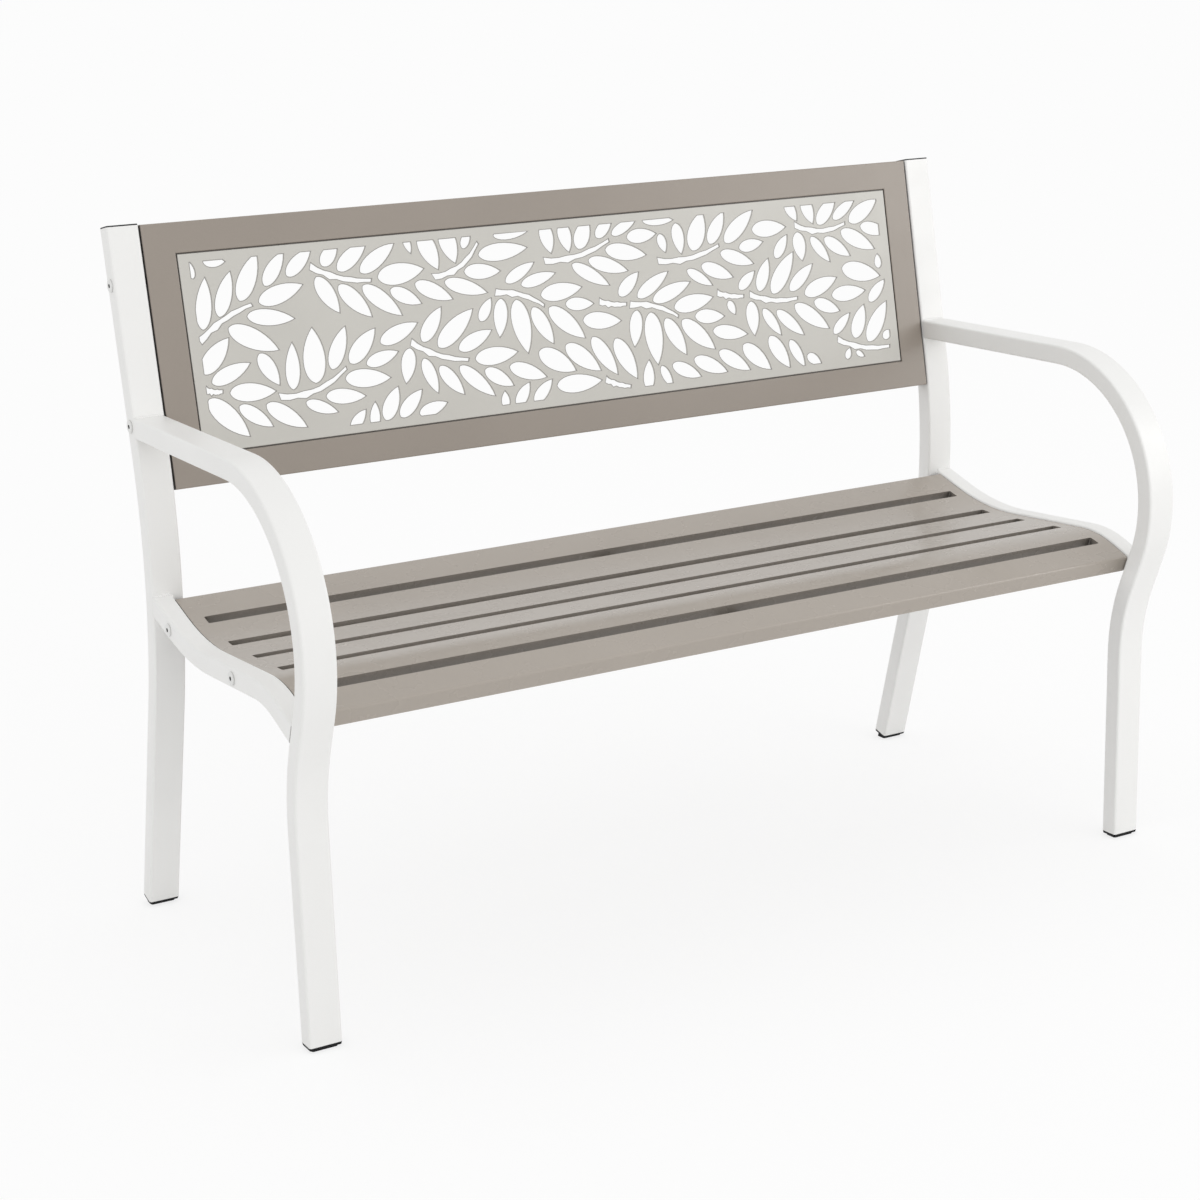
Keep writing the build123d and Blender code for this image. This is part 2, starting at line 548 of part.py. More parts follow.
# Leaf panel: the plate, its openings and the studs on its back
leaf_half = window_half - LEAF_GAP
leaf_high = window_high - 2 * LEAF_GAP
LEAF_PLANE = BACK_PLANE.offset(-LEAF_SINK)
openings = []
for leaf, scale in eased_leaves():
    with BuildLine() as leaf_edge:
        for side_points in leaf_sides(leaf, scale):
            Bezier(*flat_points(side_points))
    openings.append(make_face(leaf_edge.edges(), mode=Mode.PRIVATE))
for twig, leaves in SPRAYS:
    with BuildLine() as twig_edge:
        Polyline(*flat_points(twig_outline(twig)), close=True)
    openings.append(make_face(twig_edge.edges(), mode=Mode.PRIVATE))
with BuildPart() as leaf_panel:
    with BuildSketch(LEAF_PLANE):
        Rectangle(2 * leaf_half, leaf_high)
    extrude(amount=-LEAF_PLATE)
    fillet(leaf_panel.faces().sort_by(Axis(back_mid, BACK_PLANE.z_dir))[-1].edges(), LEAF_EDGE_ROUND)
    with BuildSketch(LEAF_PLANE.offset(LEAF_PLATE)):
        add(openings)
        Rectangle(2 * (leaf_half - LEAF_SIDE_MARGIN), leaf_high - 2 * LEAF_RAIL_MARGIN, mode=Mode.INTERSECT)
    extrude(amount=-3 * LEAF_PLATE, mode=Mode.SUBTRACT)
    with Locations(LEAF_PLANE.offset(-LEAF_PLATE - STUD_LENGTH / 2)):
        with GridLocations(stud_span / (STUD_COLUMNS - 1), stud_rise, STUD_COLUMNS, 2):
            Cylinder(STUD_DIAMETER / 2, STUD_LENGTH)
save(leaf_panel.part, "leaf_panel")

# Push nuts on the studs behind the ledge
with BuildPart() as push_nuts:
    with Locations(BACK_PLANE.offset(-ledge_back - PUSH_NUT_GAP - PUSH_NUT_THICK / 2)):
        with GridLocations(stud_span / (STUD_COLUMNS - 1), stud_rise, STUD_COLUMNS, 2):
            Cylinder(PUSH_NUT_DIAMETER / 2, PUSH_NUT_THICK)
            Cylinder((STUD_DIAMETER + PUSH_NUT_GAP) / 2, 2 * PUSH_NUT_THICK, mode=Mode.SUBTRACT)
save(push_nuts.part, "leaf_panel_push_nuts")


def bolt_set(spots, grip):
    """Bolts through the end frames at the spots, heads outside, with a length of shank under each head."""
    with BuildPart() as bolts:
        for spot in spots:
            for sign in (-1, 1):
                under_head = Plane((sign * WIDTH / 2, spot.Y, spot.Z), x_dir=(0, 1, 0), z_dir=(sign, 0, 0))
                with BuildSketch(under_head):
                    Circle(BOLT_HEAD_DIAMETER / 2)
                head = extrude(amount=BOLT_HEAD_THICK)
                fillet(head.faces().sort_by(Axis.X)[-1 if sign > 0 else 0].edges(), BOLT_HEAD_ROUND)
                with BuildSketch(under_head):
                    Circle(BOLT_DIAMETER / 2)
                extrude(amount=-grip)
                with BuildSketch(under_head.offset(BOLT_HEAD_THICK)):
                    RegularPolygon(SOCKET_ACROSS / 2, 6, major_radius=False)
                extrude(amount=-SOCKET_DEEP, mode=Mode.SUBTRACT)
    return bolts.part


def nut_set(spots, x):
    """Hexagon nuts at the spots, each end's starting at x and running inward."""
    with BuildPart() as nuts:
        for spot in spots:
            for sign in (-1, 1):
                with BuildSketch(Plane((sign * x, spot.Y, spot.Z), x_dir=(0, 1, 0), z_dir=(-sign, 0, 0))):
                    RegularPolygon(NUT_ACROSS / 2, 6, major_radius=False)
                    Circle((BOLT_DIAMETER + BOLT_CLEARANCE) / 2, mode=Mode.SUBTRACT)
                extrude(amount=NUT_THICK)
    return nuts.part


back_grip = TUBE_WIDE + BACK_END_GAP + BACK_SHEET + NUT_THICK + BOLT_TAIL
seat_grip = RAIL_WIDE + SEAT_END_GAP + SEAT_SHEET + NUT_THICK + BOLT_TAIL
save(bolt_set(back_bolt_spots, back_grip), "back_bolts")
save(bolt_set(seat_bolt_spots, seat_grip), "seat_bolts")
save(nut_set(back_bolt_spots, BACK_HALF - BACK_SHEET), "back_nuts")
save(nut_set(seat_bolt_spots, SEAT_HALF - SEAT_SHEET), "seat_nuts")

# Plastic plugs: feet with a flange and a level pad, and flat caps on the uprights
plug_wide = TUBE_WIDE - 2 * (TUBE_WALL + PLUG_CLEARANCE)
plug_deep = TUBE_DEEP - 2 * (TUBE_WALL + PLUG_CLEARANCE)
plug_corner = TUBE_CORNER - TUBE_WALL


def foot(end, tilt):
    """Foot on a tube end: plug inside the tube, flange over its rim, pad levelled on the floor."""
    seat_here = Plane(end, x_dir=(1, 0, 0), z_dir=(0, -sin(tilt), cos(tilt)))
    with BuildPart() as plug:
        with BuildSketch(seat_here):
            RectangleRounded(plug_wide, plug_deep, plug_corner)
        extrude(amount=PLUG_LENGTH)
        with BuildSketch(seat_here):
            RectangleRounded(TUBE_WIDE, TUBE_DEEP, TUBE_CORNER)
        extrude(amount=-FOOT_FLANGE, taper=FOOT_TAPER)
        with BuildSketch(seat_here.offset(-FOOT_FLANGE)):
            RectangleRounded(TUBE_WIDE - 2 * FOOT_PAD_INSET, TUBE_DEEP - 2 * FOOT_PAD_INSET, TUBE_CORNER)
        extrude(amount=-TUBE_DEEP)
        split(bisect_by=Plane.XY, keep=Keep.TOP)
    return plug.part


def top_cap(end):
    """Flat cap on the top of an upright, its plug inside the tube."""
    seat_here = Plane(end, x_dir=(1, 0, 0), z_dir=(0, sin(LEAN), cos(LEAN)))
    with BuildPart() as plug:
        with BuildSketch(seat_here):
            RectangleRounded(plug_wide, plug_deep, plug_corner)
        extrude(amount=-PLUG_LENGTH)
        with BuildSketch(seat_here):
            RectangleRounded(TUBE_WIDE - CAP_INSET, TUBE_DEEP - CAP_INSET, TUBE_CORNER - CAP_INSET / 2)
        extrude(amount=CAP_FLANGE)
        fillet(plug.faces().sort_by(Axis(end, seat_here.z_dir))[-1].edges(), CAP_FLANGE / 3)
    return plug.part


for side, sign in (("left", -1), ("right", 1)):
    save(foot((sign * TUBE_X, front_leg_y, front_foot_z), 0.0), f"{side}_front_foot")
    save(foot((sign * TUBE_X, rear_foot_y, rear_foot_z), RAKE), f"{side}_rear_foot")
    save(top_cap((sign * TUBE_X, top_y, top_z)), f"{side}_top_cap")
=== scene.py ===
"""Studio scene of a two-seat garden bench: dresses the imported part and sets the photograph's view of it."""

import logging
import math
from dataclasses import dataclass, replace
from enum import Enum
from typing import Dict, Iterable, List, Sequence, Tuple, Union

import bmesh
import bpy
from mathutils import Matrix, Vector


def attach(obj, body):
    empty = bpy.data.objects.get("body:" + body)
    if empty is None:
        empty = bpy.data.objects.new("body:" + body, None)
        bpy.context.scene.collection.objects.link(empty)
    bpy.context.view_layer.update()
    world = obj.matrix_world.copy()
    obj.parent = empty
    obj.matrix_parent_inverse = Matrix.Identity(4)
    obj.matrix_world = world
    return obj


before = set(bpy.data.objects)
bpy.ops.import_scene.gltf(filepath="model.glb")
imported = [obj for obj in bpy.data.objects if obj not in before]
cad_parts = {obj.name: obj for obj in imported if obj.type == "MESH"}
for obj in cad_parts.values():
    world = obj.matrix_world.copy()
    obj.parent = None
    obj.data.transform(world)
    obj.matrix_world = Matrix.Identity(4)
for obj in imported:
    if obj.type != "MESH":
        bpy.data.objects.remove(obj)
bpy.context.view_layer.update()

LOG = logging.getLogger("bench")
MM = 0.001
ROOT = "root"

# Sizes that several sub-assemblies share, as in the part's source: millimetres and degrees.
BENCH_WIDE = 1220.0
BACK_LEAN = 10.3

# Places of the colour sockets on a mix node.
MIX_FACTOR, MIX_ONE, MIX_OTHER, MIX_RESULT = 0, 6, 7, 2

Colour = Tuple[float, float, float]
Place = Tuple[float, float, float]
Point = Tuple[float, float]
Tree = bpy.types.NodeTree
Node = bpy.types.Node
Socket = bpy.types.NodeSocket


class Side(Enum):
    """The two ends of the bench, by the sign of X."""

    LEFT = -1
    RIGHT = 1

    @property
    def label(self) -> str:
        """Name of the end as used in the part's nodes."""
        return self.name.lower()


def link_nodes(tree: Tree, source: Socket, target: Socket) -> None:
    """Joins two sockets of a node tree.

    Args:
        tree: Node tree that holds both.
        source: Output socket.
        target: Input socket.
    """
    tree.links.new(source, target)


def add_noise(tree: Tree, where: Socket, scale: float, detail: float) -> Socket:
    """Adds a noise texture in object space.

    Args:
        tree: Node tree that receives the texture.
        where: Socket that gives the coordinates in metres.
        scale: Noise cells to the metre.
        detail: Octaves of finer noise.

    Returns:
        Socket of the noise, from 0 to 1.
    """
    noise = tree.nodes.new("ShaderNodeTexNoise")
    noise.inputs["Scale"].default_value = scale
    noise.inputs["Detail"].default_value = detail
    link_nodes(tree, where, noise.inputs["Vector"])
    return noise.outputs["Fac"]


def add_ramp(tree: Tree, value: Socket, stops: Sequence[Tuple[float, Colour]]) -> Socket:
    """Adds a colour ramp between two stops.

    Args:
        tree: Node tree that receives the ramp.
        value: Socket that runs along the ramp.
        stops: Positions and linear colours of both ends.

    Returns:
        Socket of the colour.
    """
    ramp = tree.nodes.new("ShaderNodeValToRGB")
    for element, (position, colour) in zip(ramp.color_ramp.elements, stops):
        element.position = position
        element.color = (*colour, 1.0)
    link_nodes(tree, value, ramp.inputs["Fac"])
    return ramp.outputs["Color"]


def multiply(tree: Tree, one: Socket, other: Socket) -> Socket:
    """Adds a product of two colours.

    Args:
        tree: Node tree that receives the product.
        one: Socket of the first colour.
        other: Socket of the second colour.

    Returns:
        Socket of the product.
    """
    mix = tree.nodes.new("ShaderNodeMix")
    mix.data_type = "RGBA"
    mix.blend_type = "MULTIPLY"
    mix.inputs[MIX_FACTOR].default_value = 1.0
    link_nodes(tree, one, mix.inputs[MIX_ONE])
    link_nodes(tree, other, mix.inputs[MIX_OTHER])
    return mix.outputs[MIX_RESULT]


def grey(level: float) -> Colour:
    """Neutral colour of one level.

    Args:
        level: Linear level of all three channels.

    Returns:
        The colour.
    """
    return (level, level, level)


def shaded(colour: Colour, factor: float) -> Colour:
    """Colour made lighter or darker.

    Args:
        colour: Linear colour.
        factor: Factor on all three channels.

    Returns:
        The new colour, at most white.
    """
    return tuple(min(1.0, channel * factor) for channel in colour)


@dataclass(frozen=True)
class Grain:
    """Noise, and the stretch of it that is spread from one colour to another.

    Attributes:
        scale: Noise cells to the metre.
        detail: Octaves of finer noise.
        low: Noise at and under which the first colour stands.
        high: Noise at and over which the last colour stands.
    """

    scale: float
    detail: float
    low: float
    high: float

    def spread(self, tree: Tree, where: Socket, first: Colour, last: Colour) -> Socket:
        """Adds the noise, spread between two colours.

        Args:
            tree: Node tree to add to.
            where: Coordinates in metres.
            first: Colour at the low end.
            last: Colour at the high end.

        Returns:
            Socket of the colour.
        """
        noise = add_noise(tree, where, self.scale, self.detail)
        return add_ramp(tree, noise, [(self.low, first), (self.high, last)])


@dataclass(frozen=True)
class Dimples:
    """Fine unevenness of a skin, as bump.

    Attributes:
        size_mm: Size of one dimple.
        detail: Octaves of finer noise.
        depth_mm: Depth that the bump stands for.
        strength: Share of that depth.
    """

    size_mm: float
    detail: float
    depth_mm: float
    strength: float

    def press(self, tree: Tree, shader: Node, where: Socket) -> None:
        """Presses the dimples into a shader's surface.

        Args:
            tree: Node tree of the material.
            shader: Its principled shader.
            where: Coordinates in metres.
        """
        height = add_noise(tree, where, 1.0 / (self.size_mm * MM), self.detail)
        bump = tree.nodes.new("ShaderNodeBump")
        bump.inputs["Strength"].default_value = self.strength
        bump.inputs["Distance"].default_value = self.depth_mm * MM
        link_nodes(tree, height, bump.inputs["Height"])
        link_nodes(tree, bump.outputs["Normal"], shader.inputs["Normal"])


SLOW_DRIFT = Grain(scale=7.0, detail=2.0, low=0.3, high=0.7)
PIGMENT_FLECK = Grain(scale=1.0 / (0.45 * MM), detail=3.0, low=0.38, high=0.62)
HANDLED_PATCHES = Grain(scale=22.0, detail=4.0, low=0.35, high=0.65)
SCUFFS = Grain(scale=160.0, detail=5.0, low=0.5, high=0.78)
SCUFF_GLOSS = replace(SCUFFS, low=0.35, high=0.7)
SPARK_TEXTURE = Dimples(size_mm=0.5, detail=2.0, depth_mm=0.1, strength=0.25)
CLOUDS = Grain(scale=420.0, detail=4.0, low=0.35, high=0.6)
CLOUD_GLOSS = replace(CLOUDS, low=0.3, high=0.7)
PEEL_DETAIL = 1.5
PEEL_DEPTH_MM = 0.2
# Rays of the ambient occlusion that paints shade into narrow places.
CREVICE_SHADE_RAYS = 8
PLASTIC_SPECULAR = 0.15


@dataclass(frozen=True)
class Finish:
    """A procedural surface.

    Attributes:
        name: Name of the finish.
        colour: Linear base colour.
    """

    name: str
    colour: Colour

    def material(self) -> bpy.types.Material:
        """Material of this finish, made once and then shared.

        Returns:
            The material.
        """
        if self not in MATERIALS:
            material = bpy.data.materials.new(self.name)
            material.use_nodes = True
            tree = material.node_tree
            where = tree.nodes.new("ShaderNodeTexCoord").outputs["Object"]
            self.shade(tree, tree.nodes["Principled BSDF"], where)
            MATERIALS[self] = material
        return MATERIALS[self]

    def shade(self, tree: Tree, shader: Node, where: Socket) -> None:
        """Fills the node tree of the finish.

        Args:
            tree: Node tree of the material.
            shader: Its principled shader.
            where: Coordinates in metres.
        """
        raise NotImplementedError(self.name)


MATERIALS: Dict[Finish, bpy.types.Material] = {}


@dataclass(frozen=True)
class CreviceShade:
    """Painted shade: how a coat's colour is darkened by ambient occlusion where surfaces lie close together,
    seen from any side.

    Attributes:
        strength: How much of the colour is lost in the deepest place.
        reach_mm: How near a facing surface must be to count.
        full: Openness at which the coat reaches its darkest.
        clear: Openness from which the coat keeps its plain colour.
        own: Whether only the piece's own surfaces count.
    """

    strength: float
    reach_mm: float
    full: float
    clear: float
    own: bool = False

    def darken(self, tree: Tree, colour: Socket) -> Socket:
        """Paints shade into a colour in narrow places.

        Args:
            tree: Node tree to add to.
            colour: Colour of the open surface.

        Returns:
            Socket of the colour with painted shade.
        """
        depth = tree.nodes.new("ShaderNodeAmbientOcclusion")
        depth.samples = CREVICE_SHADE_RAYS
        depth.only_local = self.own
        depth.inputs["Distance"].default_value = self.reach_mm * MM
        stops = [(self.full, grey(1.0 - self.strength)), (self.clear, grey(1.0))]
        return multiply(tree, colour, add_ramp(tree, depth.outputs["AO"], stops))


@dataclass(frozen=True)
class PowderCoat(Finish):
    """Baked powder coat on metal: orange-peel skin, fine fleck and slow drift of tone.

    Attributes:
        roughness: Middle of the roughness range.
        rub: How far rubbed patches depart from that roughness.
        peel_mm: Size of one orange-peel dimple.
        peel_strength: Depth of the peel as a bump strength.
        fleck: Contrast of the fine pigment fleck.
        drift: Contrast of the slow change of tone over a hand's breadth.
        crevice_shades: Shade painted into the coat's colour in slots, gaps and corners.
    """

    roughness: float = 0.42
    rub: float = 0.06
    peel_mm: float = 1.4
    peel_strength: float = 0.10
    fleck: float = 0.05
    drift: float = 0.03
    crevice_shades: Tuple[CreviceShade, ...] = ()

    def shade(self, tree: Tree, shader: Node, where: Socket) -> None:
        """Fills the node tree: pigment below, skin above.

        Args:
            tree: Node tree of the material.
            shader: Its principled shader.
            where: Coordinates in metres.
        """
        self._pigment_and_shade(tree, shader, where)
        self._skin(tree, shader, where)

    def _pigment_and_shade(self, tree: Tree, shader: Node, where: Socket) -> None:
        """Colour: slow drift of tone under a fine fleck, with painted shade in narrow places.

        Args:
            tree: Node tree of the material.
            shader: Its principled shader.
            where: Coordinates in metres.
        """
        dark, light = shaded(self.colour, 1.0 - self.drift), shaded(self.colour, 1.0 + self.drift)
        tone = SLOW_DRIFT.spread(tree, where, dark, light)
        fleck = PIGMENT_FLECK.spread(tree, where, grey(1.0 - self.fleck), grey(1.0))
        colour = multiply(tree, tone, fleck)
        # Painted shade: each pass darkens the colour where ambient occlusion finds surfaces close by.
        for crevice_shade in self.crevice_shades:
            colour = crevice_shade.darken(tree, colour)
        link_nodes(tree, colour, shader.inputs["Base Color"])

    def _skin(self, tree: Tree, shader: Node, where: Socket) -> None:
        """Surface: orange peel as bump, with patches handled smoother than the rest.

        Args:
            tree: Node tree of the material.
            shader: Its principled shader.
            where: Coordinates in metres.
        """
        Dimples(self.peel_mm, PEEL_DETAIL, PEEL_DEPTH_MM, self.peel_strength).press(tree, shader, where)
        smooth, rough = grey(self.roughness - self.rub), grey(self.roughness + self.rub)
        patches = HANDLED_PATCHES.spread(tree, where, smooth, rough)
        link_nodes(tree, patches, shader.inputs["Roughness"])


@dataclass(frozen=True)
class MouldedPlastic(Finish):
    """Injection-moulded plastic with a fine spark texture and scuffs.

    Attributes:
        scuff: Linear colour of rubbed places.
        roughness: Middle of the roughness range.
        polish: How far plain places are smoother than that.
        wear: How far rubbed places are rougher than that.
    """

    scuff: Colour
    roughness: float = 0.65
    polish: float = 0.08
    wear: float = 0.1

    def shade(self, tree: Tree, shader: Node, where: Socket) -> None:
        """Fills the node tree: scuffed colour, spark texture as bump.

        Args:
            tree: Node tree of the material.
            shader: Its principled shader.
            where: Coordinates in metres.
        """
        tone = SCUFFS.spread(tree, where, self.colour, self.scuff)
        link_nodes(tree, tone, shader.inputs["Base Color"])
        SPARK_TEXTURE.press(tree, shader, where)
        shader.inputs["Specular IOR Level"].default_value = PLASTIC_SPECULAR
        plain, rubbed = grey(self.roughness - self.polish), grey(self.roughness + self.wear)
        gloss = SCUFF_GLOSS.spread(tree, where, plain, rubbed)
        link_nodes(tree, gloss, shader.inputs["Roughness"])


@dataclass(frozen=True)
class PlatedSteel(Finish):
    """Zinc-plated or oiled steel with dull, clouded places.

    Attributes:
        stain: Linear colour of dull places.
        roughness: Middle of the roughness range.
        dulling: How far dull places are rougher than that.
        shine: How far bright places are smoother than that.
    """

    stain: Colour
    roughness: float = 0.35
    dulling: float = 0.15
    shine: float = 0.05

    def shade(self, tree: Tree, shader: Node, where: Socket) -> None:
        """Fills the node tree: clouded metal.

        Args:
            tree: Node tree of the material.
            shader: Its principled shader.
            where: Coordinates in metres.
        """
        shader.inputs["Metallic"].default_value = 1.0
        tone = CLOUDS.spread(tree, where, self.stain, self.colour)
        link_nodes(tree, tone, shader.inputs["Base Color"])
        dull, bright = grey(self.roughness + self.dulling), grey(self.roughness - self.shine)
        gloss = CLOUD_GLOSS.spread(tree, where, dull, bright)
        link_nodes(tree, gloss, shader.inputs["Roughness"])


# Painted shade for the seat: its colour darkens inside the slots and along the seams.
SLOT_SHADE = CreviceShade(strength=0.74, reach_mm=36.0, full=0.46, clear=0.92, own=True)
SEAM_SHADE = CreviceShade(strength=0.80, reach_mm=10.0, full=0.35, clear=0.85)

WHITE_COAT = PowderCoat(
    name="satin_white",
    colour=(0.895, 0.892, 0.876),
    roughness=0.44,
    peel_strength=0.08,
    fleck=0.02,
    drift=0.01,
    # Painted shade: the white darkens in gaps a few millimetres wide, at joints and beside the back frame.
    crevice_shades=(CreviceShade(strength=0.8, reach_mm=5.0, full=0.08, clear=0.5),),
)
BOLT_COAT = PowderCoat(
    name="bolt_white",
    colour=(0.80, 0.80, 0.785),
    roughness=0.34,
    peel_mm=0.9,
    fleck=0.03,
    # Painted shade: the bolt coat darkens where surfaces lie within a few millimetres.
    crevice_shades=(CreviceShade(strength=0.4, reach_mm=3.0, full=0.30, clear=0.94),),
)
SEAT_COAT = PowderCoat(
    name="warm_grey",
    colour=(0.412, 0.369, 0.323),
    roughness=0.27,
    rub=0.015,
    peel_strength=0.05,
    fleck=0.03,
    drift=0.02,
    crevice_shades=(SLOT_SHADE, SEAM_SHADE),
)
RIB_COAT = replace(SEAT_COAT, name="pale_rib", colour=(0.580, 0.540, 0.490), crevice_shades=())
FRAME_COAT = PowderCoat(
    name="taupe",
    colour=(0.322, 0.280, 0.240),
    roughness=0.36,
    rub=0.02,
    fleck=0.04,
    drift=0.02,
    # Painted shade: the taupe darkens in the gaps at the posts and in the step round the leaf panel.
    crevice_shades=(CreviceShade(strength=0.88, reach_mm=8.0, full=0.35, clear=0.85),),
)
LEAF_COAT = PowderCoat(
    name="pale_grey",
    colour=(0.600, 0.585, 0.542),
    roughness=0.46,
    fleck=0.03,
    drift=0.02,
    # Painted shade: the panel darkens in the groove along the frame and at its cut edges.
    crevice_shades=(CreviceShade(strength=0.6, reach_mm=8.0, full=0.25, clear=0.8),),
)
# Painted shade: dark band on the leaf panel's face round each opening, standing for the shaded cut edge.
EDGE_SHADE_COAT = PowderCoat(name="pale_grey_edge_shade", colour=(0.330, 0.318, 0.298), roughness=0.46)
FOOT_PLASTIC = MouldedPlastic(
    name="foot_plastic", colour=(0.009, 0.009, 0.010), scuff=(0.028, 0.028, 0.029)
)
CAP_PLASTIC = MouldedPlastic(
    name="cap_plastic", colour=(0.03, 0.03, 0.032), scuff=(0.08, 0.08, 0.082), roughness=0.5
)
ZINC = PlatedSteel(name="zinc_plate", colour=(0.62, 0.63, 0.64), stain=(0.42, 0.43, 0.44))
# Painted shade: near-black steel for the linings that darken each bolt's socket.
SOCKET_SHADE_LINING = PlatedSteel(
    name="socket_shade_lining", colour=(0.06, 0.06, 0.062), stain=(0.025, 0.025, 0.026), roughness=0.5
)


def dress_node(name: str, finish: Finish) -> None:
    """Gives a node of the part its finish.

    Args:
        name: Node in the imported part.
        finish: Finish of the whole node.
    """
    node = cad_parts[name]
    node.data.materials.clear()
    node.data.materials.append(finish.material())
    LOG.info("dressed %s in %s", name, finish.name)


def new_piece(
    name: str, shape: bmesh.types.BMesh, finish: Finish, smooth: bool = True
) -> None:
    """Turns a mesh under construction into a piece of the bench.

    Args:
        name: Name of the piece.
        shape: Mesh under construction, freed here.
        finish: Finish of the whole piece.
        smooth: Whether its faces shade as one rounded skin.
    """
    bmesh.ops.recalc_face_normals(shape, faces=shape.faces)
    mesh = bpy.data.meshes.new(name)
    shape.to_mesh(mesh)
    shape.free()
    for polygon in mesh.polygons:
        polygon.use_smooth = smooth
    piece = bpy.data.objects.new(name, mesh)
    bpy.context.scene.collection.objects.link(piece)
    mesh.materials.append(finish.material())
    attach(piece, ROOT)
    LOG.info("built %s with %d faces", name, len(mesh.polygons))


@dataclass
class EndFrames:
    """White bent-tube ends with their weld beads. Sizes in millimetres, as in the part's source.

    Attributes:
        tube_wide: Tube size along X.
        tube_deep: Tube size in the plane of the bends.
        rail_wide: Width of a seat rail along X.
        rail_high: Height of a seat rail.
        rail_proud: How far a rail stands above the seat line.
        knee: Y and Z of the upright's corner, where its straight lines would meet.
        rake: Slope of the rear leg below the knee, in degrees.
        knee_bend: Radius of the upright's bend.
        arm_height: Height of the arm's top.
        leg_slant: Slope of the front leg where the rail meets it, in degrees.
        slant_corner: Y and Z of a point on that leg's middle line.
        seat_hollow: Y and Z of the seat line's hollow, where its rear slope starts.
        rear_slope: Rise of the seat towards the back, in degrees.
        seat_crest: Y and Z of the seat line's front crest.
        nose_drop: Fall of the seat in front of the crest, in degrees.
        bead: Radius of a weld bead.
        bead_sides: Flat sides round a bead.
        bead_inset: How far a bead ends short of a tube's edge.
        rail_inset: How far a bead ends short of a rail's edge.
        ripple: Share by which the bead's radius swells at each ripple.
        ripple_pitch: Distance between ripples.
        ripple_steps: Rings of the mesh to one ripple.
        tip: Share of the radius that is left at a bead's very end.
        fit_rounds: Rounds that close in on the meeting of rail and upright.
    """

    tube_wide: float = 40.0
    tube_deep: float = 25.0
    rail_wide: float = 25.0
    rail_high: float = 25.0
    rail_proud: float = 2.0
    knee: Point = (157.87, 445.0)
    rake: float = 16.0
    knee_bend: float = 730.0
    arm_height: float = 656.0
    leg_slant: float = 22.0
    slant_corner: Point = (-233.0, 308.98)
    seat_hollow: Point = (55.0, 402.2)
    rear_slope: float = 17.5
    seat_crest: Point = (-178.46, 414.84)
    nose_drop: float = 21.8
    bead: float = 1.9
    bead_sides: int = 12
    bead_inset: float = 3.0
    rail_inset: float = 1.5
    ripple: float = 0.16
    ripple_pitch: float = 2.6
    ripple_steps: int = 6
    tip: float = 0.2
    fit_rounds: int = 20

    def upright_front(self, z: float) -> float:
        """Y of the upright's front face at a height, on the bend or the straight above it.

        Args:
            z: Height in millimetres.

        Returns:
            Y in millimetres.
        """
        lean, rake = math.radians(BACK_LEAN), math.radians(self.rake)
        knee_y, knee_z = self.knee
        run = self.knee_bend * math.tan((lean + rake) / 2)
        bend_y, bend_z = knee_y + run * math.sin(lean), knee_z + run * math.cos(lean)
        if z > bend_z + self.tube_deep:
            return knee_y + (z - knee_z) * math.tan(lean) - self.tube_deep / 2 / math.cos(lean)
        middle_y = bend_y + self.knee_bend * math.cos(lean)
        middle_z = bend_z - self.knee_bend * math.sin(lean)
        reach = self.knee_bend + self.tube_deep / 2
        return middle_y - math.sqrt(reach ** 2 - (z - middle_z) ** 2)

    def rail_meets_upright(self, above_seat: float) -> Point:
        """Where a line above the seat line meets the upright's front face.

        Args:
            above_seat: Distance of the line above the seat line, square to it.

        Returns:
            Y and Z in millimetres.
        """
        slope = math.radians(self.rear_slope)
        hollow_y, hollow_z = self.seat_hollow
        y = self.knee[0]
        for _ in range(self.fit_rounds):
            z = hollow_z + (y - hollow_y) * math.tan(slope) + above_seat / math.cos(slope)
            y = self.upright_front(z)
        return y, z

    def rail_meets_leg(self, above_seat: float) -> Point:
        """Where a line above the seat's nose meets the back face of the slanting front leg.

        Args:
            above_seat: Distance of the line above the seat line, square to it.

        Returns:
            Y and Z in millimetres.
        """
        drop, slant = math.radians(self.nose_drop), math.radians(self.leg_slant)
        crest_y, crest_z = self.seat_crest
        corner_y, corner_z = self.slant_corner
        line_z = crest_z + above_seat / math.cos(drop)
        face_y = corner_y + self.tube_deep / 2 / math.cos(slant)
        rise = math.tan(drop) + 1.0 / math.tan(slant)
        y = (corner_z - line_z + face_y / math.tan(slant) + crest_y * math.tan(drop)) / rise
        return y, line_z + (y - crest_y) * math.tan(drop)

    def bead_run(self, shape: bmesh.types.BMesh, start: Vector, end: Vector) -> None:
        """Adds one rippled bead with rounded ends.

        Args:
            shape: Mesh under construction.
            start: First end in millimetres.
            end: Other end in millimetres.
        """
        way = (end - start).normalized()
        side = way.orthogonal().normalized()
        over = way.cross(side)
        length = (end - start).length
        steps = int(length / self.ripple_pitch * self.ripple_steps)
        rings: List[List[bmesh.types.BMVert]] = []
        for step in range(steps + 1):
            along = length * step / steps
            swell = 1.0 + self.ripple * math.cos(2 * math.pi * along / self.ripple_pitch)
            from_end = min(along, length - along) / self.bead
            rounding = math.sqrt(max(self.tip ** 2, 1.0 - max(0.0, 1.0 - from_end) ** 2))
            radius = self.bead * swell * rounding
            ring = []
            for turn in range(self.bead_sides):
                angle = 2 * math.pi * turn / self.bead_sides
                spot = start + way * along + (side * math.cos(angle) + over * math.sin(angle)) * radius
                ring.append(shape.verts.new(spot * MM))
            rings.append(ring)
        for first, second in zip(rings, rings[1:]):
            for turn in range(self.bead_sides):
                after = (turn + 1) % self.bead_sides
                shape.faces.new((first[turn], first[after], second[after], second[turn]))
        shape.faces.new(rings[0])
        shape.faces.new(rings[-1][::-1])

